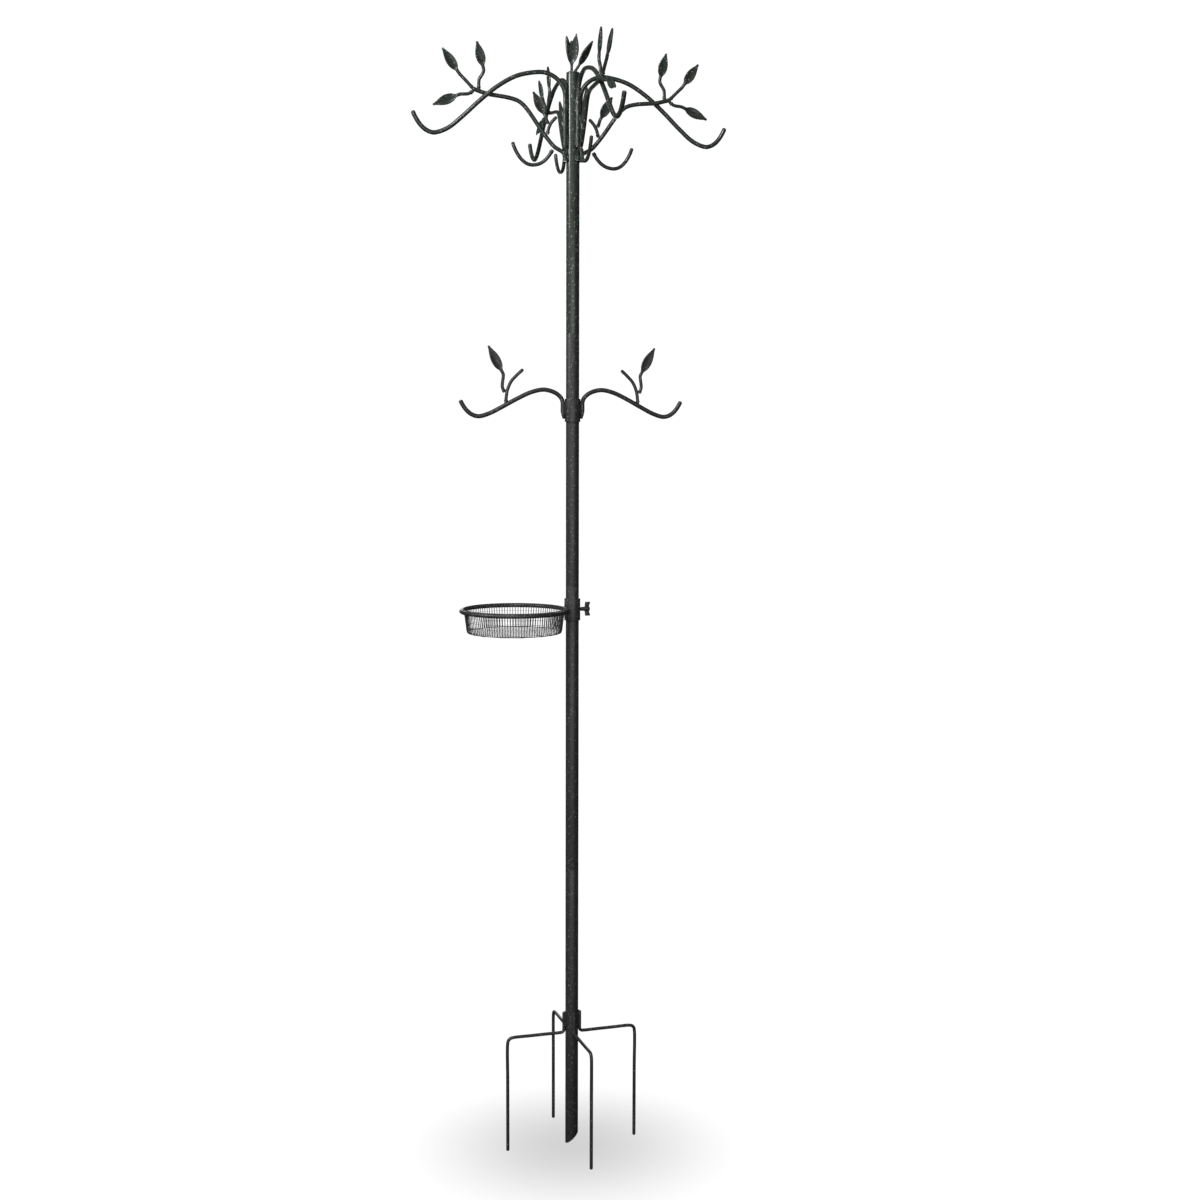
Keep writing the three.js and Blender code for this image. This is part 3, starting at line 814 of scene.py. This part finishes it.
def canopy_arm(side):
    """One arm: its hooks, branch, twigs and leaves. The places given are near each rod's foot."""
    out = outward(side)
    foot = out * FOOT_OUT
    args = ("canopy", UPPER_COAT, UPPER_SLOT)
    hook, hook_r = rod_piece(f"big_hook_{side}", *args, foot + (0, 0, 1.948))
    branch, branch_r = rod_piece(f"branch_{side}", *args, foot + (0, 0, 1.922))
    small, small_r = rod_piece(f"small_hook_{side}", *args, out * 0.043 + (0, 0, 1.939), sink=TWIG_SINK)
    twig, twig_r = rod_piece(f"branch_twig_{side}", *args, out * 0.05 + (0, 0, 1.973), sink=TWIG_SINK)
    leg = hook[hook[:, 2] > hook[0][2]]
    top = hook[0][2] + HOOK_WELD_TOP
    welds = leg_welds(leg, hook_r, POLE_R, hook[0][2] + 2 * MM, hook[0][2] + 26 * MM)
    welds += leg_welds(leg, hook_r, POLE_R, top - 24 * MM, top)
    welds += leg_welds(branch, branch_r, POLE_R, branch[0][2] + 1 * MM, branch[0][2] + 11 * MM)
    welds.append(weld_ring(small[0] + 0.6 * MM * tangents(small)[0], tangents(small)[0], small_r))
    welds.append(weld_ring(twig[0] + 0.8 * MM * tangents(twig)[0], tangents(twig)[0], twig_r))
    for leaf in ("twig_leaf", "leaf_up", "leaf_out", "leaf_down"):
        near = out * 0.05 + (0, 0, 1.99) if leaf == "twig_leaf" else out * 0.19 + (0, 0, 2.046)
        welds.append(foot_weld(*leaf_piece(f"{leaf}_{side}", *args, near), 0.8 * MM))
    end = branch[-1] - 0.5 * MM * tangents(branch)[-1]
    welds.append(weld_knot(end, 1.12 * branch_r))
    finish_piece(joined_mesh(f"welds_canopy_{side}", welds, UPPER_COAT), "canopy", UPPER_SLOT)


FINIAL_TURN = -0.3084  # radians, the heading of the finial's width
SPRIG_STEM_R = 2.6 * MM
SPRIG_ASIDE = -2.6 * MM  # the stem's place along that width
SPRIG_STEM = 11 * MM  # height of the stem
SPRIG_LEAVES = (((-12.5, 0, 66), 1.0), ((6.5, 2, 70.5), 0.0),
                ((-3.5, 13, 60), 0.5))  # each tip in mm, and the turn of its blade
SIDE_STEM_R = 2.3 * MM


def finial():
    """Three leaves on one stem, and a side leaf, all on the cap."""
    cap_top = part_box("pole_cap")[1].z
    wide = np.array((math.cos(FINIAL_TURN), math.sin(FINIAL_TURN), 0))
    deep = np.array((-math.sin(FINIAL_TURN), math.cos(FINIAL_TURN), 0))
    up = np.array((0, 0, 1.0))
    foot = wide * SPRIG_ASIDE + up * (cap_top + 0.2 * MM)
    base = wide * SPRIG_ASIDE + up * (cap_top + SPRIG_STEM)
    stem = smooth_line([foot, (foot + base) / 2, base], LEAF_STEP)
    parts = []
    for (x, y, z), facing in SPRIG_LEAVES:
        tip = wide * x * MM + deep * y * MM + up * (cap_top + z * MM)
        across = wide * math.cos(facing) + deep * math.sin(facing)
        parts.append(leaf_mesh(stem, base, tip, across, SPRIG_STEM_R))
    finish_piece(joined_mesh("finial_sprig_steel", parts, UPPER_COAT), "canopy", UPPER_SLOT, "finial_sprig")
    line, _ = leaf_piece("finial_side_leaf", "canopy", UPPER_COAT, UPPER_SLOT, wide * 5 * MM + up * cap_top)
    welds = [weld_ring(foot + up * 0.4 * MM, up, SPRIG_STEM_R),
             weld_ring(line[0] - 0.3 * MM * up, line[1] - line[0], SIDE_STEM_R)]
    finish_piece(joined_mesh("welds_finial", welds, UPPER_COAT), "canopy", UPPER_SLOT)


# ---------------------------------------------------------------- stake

PRONG_WELD = 30 * MM  # length of a prong's welds down the stake


def ground_prong(side):
    """One prong, with its beads down the stake. Its tip ends where the CAD prong does, at the ground."""
    out = outward(side)
    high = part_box(f"ground_prong_{side}")[1].z
    foot = out * FOOT_OUT + (0, 0, high)
    line, radius = rod_piece(f"ground_prong_{side}", "stake", LOWER_COAT, LOWER_SLOT, foot, reach=0)
    shoulder = high - PRONG_WELD
    welds = leg_welds(line, radius, POLE_R, shoulder, high - 1 * MM)
    crown = line[0] - out * 1.6 * MM
    welds.append(weld_bead(crown - (0, 0, 1.5 * MM), crown + (0, 0, 2.2 * MM)))
    finish_piece(joined_mesh(f"welds_prong_{side}", welds, LOWER_COAT), "stake", LOWER_SLOT)


# ---------------------------------------------------------------- clamps

COLLAR_BORE = 13.1 * MM  # radius
COLLAR_EDGE_R = 0.5 * MM
SCREW_HOLE_R = 3.3 * MM
SCREW_R = 3 * MM
SCREW_START = 13 * MM  # from the pole's axis
SCREW_LENGTH = 7 * MM
SCREW_STEP = 0.125 * MM
WING_CORNERS = ((23.6, 0.5), (25.2, 6), (25.6, 11), (26, 13.7),
                (35.8, 13.7), (36, 11), (33.9, 6.5), (33.9, 0.5))  # mm along and across the screw
WING_CORNER_R = 2.2  # mm
WING_HALF = 1.7 * MM  # half thickness
WING_ROUND = 1.1 * MM  # by which a wing's edges are rounded
HUB = ((16.6, 2.6), (16.9, 3.6), (18, 3.9), (22, 4.0), (26, 4.4), (30, 4.7),
       (33.2, 4.6), (34.5, 3.9), (35, 2.8), (35.1, 0.3))  # mm along the screw, and radius


def collar_piece(node, body, screw_run):
    """A clamp's sleeve with its screw hole."""
    low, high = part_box(node)
    outer = min(high.x, high.y, -low.x, -low.y)
    corners = [(COLLAR_BORE, low.z), (outer, low.z), (outer, high.z), (COLLAR_BORE, high.z)]
    outline = rounded_outline(corners, COLLAR_EDGE_R)
    piece = add_mesh(node + "_steel", *lathe_mesh(outline, LATHE_SEGMENTS), LOWER_COAT)
    middle = np.array((0, 0, (low.z + high.z) / 2))
    run = np.array(screw_run, float)
    cut_away(piece, cylinder_tool(middle + run * 5 * MM, middle + run * 30 * MM, SCREW_HOLE_R))
    finish_piece(piece, body, LOWER_SLOT, node)


def thread_mesh(start, run, length, radius, pitch=1 * MM, depth=0.45 * MM):
    """A threaded shaft along run."""
    sides, rows = 32, round(length / SCREW_STEP)
    side = np.array((0, 0, 1.0))
    other = np.cross(run, side)
    angles = np.linspace(0, 2 * math.pi, sides, endpoint=False)
    rings = []
    for along in np.linspace(0, length, rows):
        phase = (along / pitch - angles / (2 * math.pi)) % 1
        reach = (radius - depth * np.abs(2 * phase - 1)) * min(1, 0.75 + along / (1.2 * MM))
        rings.append(start + run * along
                     + np.outer(reach * np.cos(angles), side) + np.outer(reach * np.sin(angles), other))
    return skin(rings)


def wing_mesh(centre, run, up):
    """One wing of the screw: a thick plate with rounded corners that flares at its tip."""
    outline = rounded_outline(WING_CORNERS, WING_CORNER_R, 6)
    deep = np.cross(run, up)
    middle = np.mean(outline, axis=0)
    rings = []
    for angle in np.linspace(-math.pi / 2, math.pi / 2, 11):
        inset = WING_ROUND * (1 - math.cos(angle))
        ring = []
        for x, z in outline:
            away = np.array((x, z)) - middle
            x, z = (np.array((x, z)) * MM) - away / np.linalg.norm(away) * inset
            ring.append(centre + run * x + up * z + deep * WING_HALF * math.sin(angle))
        rings.append(np.array(ring))
    return turned_over(*skin(rings))


def wing_screw(node, body, run):
    """A threaded shaft with a hub and two wings, along run."""
    low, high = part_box(node)
    centre = np.array((0, 0, (low.z + high.z) / 2))
    run = np.array(run, float)
    up = np.array((0, 0, 1.0))
    parts = [thread_mesh(centre + run * SCREW_START, run, SCREW_LENGTH, SCREW_R),
             turned_mesh([(x * MM, r * MM) for x, r in HUB], centre, run),
             wing_mesh(centre, run, up), wing_mesh(centre, run, -up)]
    finish_piece(joined_mesh(node + "_steel", parts, LOWER_COAT), body, LOWER_SLOT, node)


def middle_bracket():
    """The arm collar and its screw, and on each side an arm with a twig and a leaf."""
    collar_piece("arm_collar", "arm_bracket", (0, 1, 0))
    wing_screw("arm_screw", "arm_clamp_screw", (0, 1, 0))
    collar_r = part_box("arm_collar")[1].x
    for side in ("right", "left"):
        out = outward(side)
        args = ("arm_bracket", LOWER_COAT, LOWER_SLOT)
        arm, arm_r = rod_piece(f"arm_{side}", *args, out * 19 * MM + (0, 0, 1.44), taper=14 * MM)
        twig, twig_r = rod_piece(f"arm_twig_{side}", *args, out * 0.1315 + (0, 0, 1.4728), sink=TWIG_SINK)
        leaf, leaf_r = leaf_piece(f"arm_leaf_{side}", *args, out * 0.1349 + (0, 0, 1.4922))
        welds = leg_welds(arm, arm_r, collar_r, arm[0][2] + 8 * MM, arm[0][2] + 30 * MM)
        welds.append(weld_ring(twig[0] + 0.8 * MM * tangents(twig)[0], tangents(twig)[0], twig_r))
        welds.append(foot_weld(leaf, leaf_r, 0.6 * MM))
        finish_piece(joined_mesh(f"welds_arm_{side}", welds, LOWER_COAT), "arm_bracket", LOWER_SLOT)


# ---------------------------------------------------------------- tray

LIP_R = 0.9 * MM
LIP_LEAN = math.radians(55)  # how far up the ring's inner side the lip rests
LIP_PLAY = 0.1 * MM  # between the lip and the ring
BASKET_PLAY = 0.4 * MM  # kept free of weld round the basket
COLLAR_PLAY = 0.1 * MM  # between the ring's cut ends and the collar
WELD_DEPTH = 1 * MM  # by which the tray's welds reach past the ring's cut ends
TOOL_REACH = 0.02  # by which a cutting tool runs past the ring

WIRE_R = 0.74 * MM
FLOOR_WIRE_R = 0.45 * MM
HOOP_R = 0.2 * MM
UPRIGHTS = 112
HOOPS = 5
WEAVE = 0.4 * MM
FLOOR_PITCH = 5.8 * MM
CROSS_PITCH = 17.4 * MM
CROSS_LIFT = -0.9 * MM  # the wider wires of the floor, against the closer ones
FLOOR_TURN = math.radians(72)  # heading of the floor's closer wires
LOOP_STEPS = 180
WALL_INSET = 3.5 * MM  # of the wall's top from the CAD basket's edge
FLOOR_INSET = 9 * MM  # of the floor from that edge
FLOOR_LIFT = 1.1 * MM
WALL_DROP = 3 * MM  # from the lip down to the wall's top


def lip_seat():
    """Radius and height of the basket's lip, which rests on the inner side of the ring."""
    low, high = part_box("tray_ring")
    rod_r = (high.z - low.z) / 2
    nest = rod_r + LIP_R + LIP_PLAY
    return high.y - rod_r - nest * math.cos(LIP_LEAN), low.z + rod_r + nest * math.sin(LIP_LEAN)


def wall_top_radius():
    """Radius of the basket's wall at its top, under the flared lip."""
    low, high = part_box("tray_basket")
    return (high.x - low.x) / 2 - WALL_INSET


def tray_ring():
    """The ring, cut where it meets the collar, and its two welds, cut clear of the pole and the basket."""
    low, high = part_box("tray_ring")
    rod_r = (high.z - low.z) / 2
    ring_r = high.y - rod_r
    centre = np.array((low.x + high.y, 0, (low.z + high.z) / 2))
    rings = []
    for a in np.linspace(0, 2 * math.pi, 200, endpoint=False):
        out = np.array((math.cos(a), math.sin(a), 0))
        rings.append(circle(centre + out * ring_r, rod_r, out, (0, 0, 1), 24))
    piece = add_mesh("tray_ring_steel", *turned_over(*skin(rings, closed=True)), LOWER_COAT)
    collar_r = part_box("tray_collar")[1].x + COLLAR_PLAY
    below, above = low.z - TOOL_REACH, high.z + TOOL_REACH
    cut_away(piece, cylinder_tool((0, 0, below), (0, 0, above), collar_r))
    finish_piece(piece, "tray_bracket", LOWER_SLOT, "tray_ring")
    welds = []
    reach = math.acos((ring_r ** 2 + centre[0] ** 2 - collar_r ** 2) / (2 * ring_r * -centre[0]))
    for hand in (-1, 1):
        angle = hand * (reach + 0.012)
        meet = centre + ring_r * np.array((math.cos(angle), math.sin(angle), 0))
        welds.append(weld_ring(meet, np.array((-math.sin(angle), math.cos(angle), 0)), rod_r))
    piece = joined_mesh("welds_tray", welds, LOWER_COAT)
    cut_away(piece, cylinder_tool((0, 0, below), (0, 0, above), collar_r - WELD_DEPTH))
    lip_r, lip_z = lip_seat()
    for radius, from_z in ((wall_top_radius() + WIRE_R + WEAVE, below), (lip_r + LIP_R, lip_z - LIP_R)):
        start = (centre[0], 0, from_z - BASKET_PLAY)
        cut_away(piece, cylinder_tool(start, (centre[0], 0, above), radius + BASKET_PLAY))
    finish_piece(piece, "tray_bracket", LOWER_SLOT)


def wire_mesh(line, radius, centre, sides=6, closed=False):
    """A thin wire along a line, with flat ends or closed into a loop about the centre."""
    line = np.asarray(line)
    run = np.roll(line, -1, axis=0) - np.roll(line, 1, axis=0) if closed else np.gradient(line, axis=0)
    run = run / np.linalg.norm(run, axis=1)[:, None]
    rings = []
    away = line[0] - centre
    hint = np.array((0, 0, 1.0)) if abs(run[0][2]) < 0.7 else np.array((away[1], -away[0], 0.0))
    for p, t in zip(line, run):
        side = hint - t * (hint @ t)
        side = side / np.linalg.norm(side)
        rings.append(circle(p, radius, side, np.cross(t, side), sides))
    return skin(rings, closed=closed)


def basket():
    """The mesh basket: uprights woven through hoops, a lip, a floor edge and two layers of floor wires."""
    low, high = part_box("tray_basket")
    centre = np.array(((low.x + high.x) / 2, 0, 0))
    lip_r = (high.x - low.x) / 2
    floor_r, top_r = lip_r - FLOOR_INSET, wall_top_radius()
    floor_z = low.z + FLOOR_LIFT
    edge_r = floor_r - 0.6 * MM
    nest_r, top_z = lip_seat()
    wall_top = top_z - WALL_DROP

    def place(angle, radius, z):
        return centre + np.array((radius * math.cos(angle), radius * math.sin(angle), z))

    def loop(radius, z):
        return [place(2 * math.pi * i / LOOP_STEPS, radius, z) for i in range(LOOP_STEPS)]

    def wall_r(z):
        return floor_r + (top_r - floor_r) * (z - floor_z) / (wall_top - floor_z)

    heights = np.linspace(floor_z + 3 * MM, wall_top - 1 * MM, HOOPS)
    parts = []
    for i in range(UPRIGHTS):
        angle = 2 * math.pi * i / UPRIGHTS
        line = [place(angle, floor_r - 2.5 * MM, floor_z),
                place(angle, floor_r - 0.7 * MM, floor_z + 0.6 * MM)]
        for j, z in enumerate(heights):
            line.append(place(angle, wall_r(z) + 0.5 * WEAVE * (-1) ** (i + j), z))
        line += [place(angle, top_r + 0.3 * MM, top_z - 1.2 * MM), place(angle, nest_r, top_z)]
        parts.append(wire_mesh(smooth_line(line, 2.3 * MM), WIRE_R, centre))
    for j, z in enumerate(heights):
        hoop = []
        for i in range(2 * UPRIGHTS):
            weave = -1.4 * WEAVE * (-1) ** (i // 2 + j) if i % 2 == 0 else 0
            hoop.append(place(math.pi * i / UPRIGHTS, wall_r(z) + weave, z))
        parts.append(wire_mesh(hoop, HOOP_R, centre, closed=True))
    parts.append(wire_mesh(loop(nest_r, top_z), LIP_R, centre, sides=12, closed=True))
    parts.append(wire_mesh(loop(edge_r, floor_z), WIRE_R, centre, sides=8, closed=True))
    floor_layers = ((FLOOR_PITCH, FLOOR_TURN, 0.0), (CROSS_PITCH, FLOOR_TURN + math.pi / 2, CROSS_LIFT))
    for pitch, turn, lift in floor_layers:
        run = np.array((math.cos(turn), math.sin(turn), 0))
        across = np.array((-run[1], run[0], 0))
        count = int(floor_r / pitch)
        for k in range(-count, count + 1):
            reach = math.sqrt(max(0, edge_r ** 2 - (k * pitch) ** 2))
            line = [centre + across * k * pitch + run * along + np.array((0, 0, floor_z + lift))
                    for along in np.linspace(-reach, reach, 12)]
            parts.append(wire_mesh(line, FLOOR_WIRE_R, centre))
    finish_piece(joined_mesh("tray_basket_wire", parts, WIRE), "basket", MESH_SLOT, "tray_basket")


# ---------------------------------------------------------------- the object

make_camera()
make_lights()
make_world()
make_floor()

tube_piece("stake_tube", "stake", LOWER_COAT, LOWER_SLOT, spigot=True)
tube_piece("lower_tube", "lower_pole", LOWER_COAT, LOWER_SLOT, spigot=True)
tube_piece("middle_tube", "middle_pole", LOWER_COAT, LOWER_SLOT, spigot=True)
tube_piece("canopy_tube", "canopy", UPPER_COAT, UPPER_SLOT, spigot=False)
cap_piece()
finial()
for side in SIDES:
    ground_prong(side)
    canopy_arm(side)
middle_bracket()
collar_piece("tray_collar", "tray_bracket", (1, 0, 0))
wing_screw("tray_screw", "tray_clamp_screw", (1, 0, 0))
tray_ring()
basket()

bpy.context.scene.view_settings.view_transform = "Standard"
